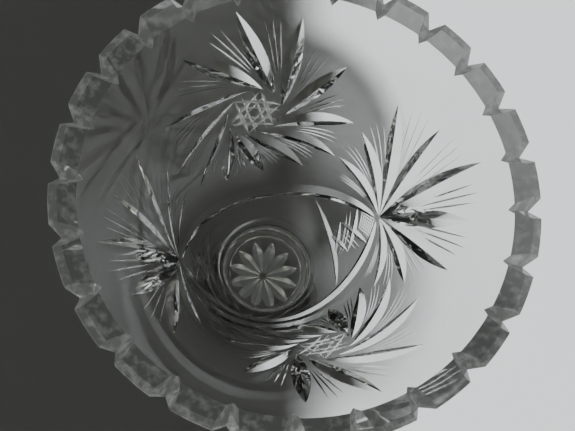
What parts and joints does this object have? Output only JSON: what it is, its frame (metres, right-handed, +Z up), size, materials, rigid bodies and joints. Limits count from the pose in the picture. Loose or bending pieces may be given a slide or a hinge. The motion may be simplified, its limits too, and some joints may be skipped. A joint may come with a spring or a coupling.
{
  "type": "punch bowl",
  "caption": "Deep tapered cut-crystal punch bowl with a notched rim, lifting off a solid crystal stand with a star-cut foot.",
  "frame": {"origin": "centre of the foot ring's underside, on the surface that the stand rests on", "axes": "+Z up along the turned axis, from the foot to the rim; a fan motif's hub lies towards +X and a whirl motif towards +Y"},
  "size_m": [0.2539, 0.2539, 0.2845],
  "materials": {
    "bowl_crystal": "polished lead crystal with wheel-cut mitres",
    "stand_crystal": "polished lead crystal, ground seat and foot ring"
  },
  "bodies": {
    "stand_body": {"stand": "stand_crystal"},
    "bowl_body": {"bowl": "bowl_crystal"}
  },
  "joints": [
    {"name": "bowl_lift", "type": "slide", "parent": "stand_body", "child": "bowl_body", "axis": [0, 0, 1], "range_m": [0, 0.06]}
  ]
}
